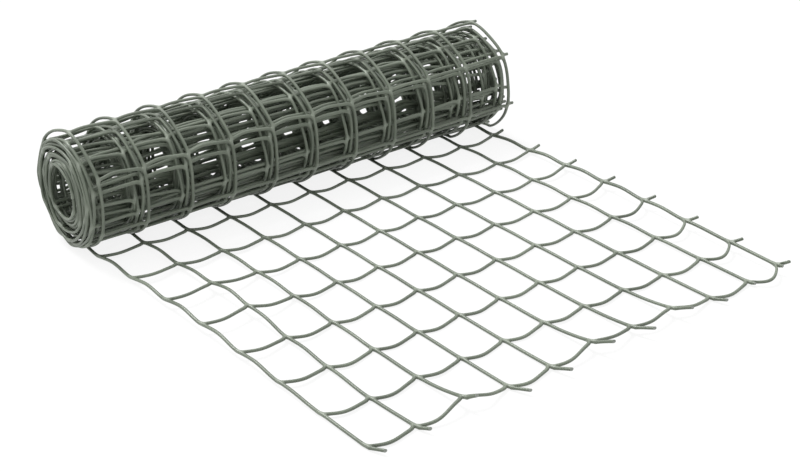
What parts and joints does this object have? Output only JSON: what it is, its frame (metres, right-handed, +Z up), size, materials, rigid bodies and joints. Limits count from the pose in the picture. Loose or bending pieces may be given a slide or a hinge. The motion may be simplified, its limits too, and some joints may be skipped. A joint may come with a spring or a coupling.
{
  "type": "roll of plant support mesh",
  "caption": "Roll of extruded plastic plant support mesh with bowed cross strands, lying on its side with a short length unrolled flat.",
  "frame": {"origin": "centre of the bounding box, on the floor that the roll and its laid-out length lie on", "axes": "+X from the roll along the laid-out length to its cut end, +Y along the roll's axis to the end with the cut stubs, +Z up"},
  "size_m": [0.5463, 0.5332, 0.1207],
  "materials": {
    "mesh_plastic": "dull dark grey-green extruded polyethylene"
  },
  "bodies": {
    "root": {"mesh_roll": "mesh_plastic"}
  },
  "joints": []
}
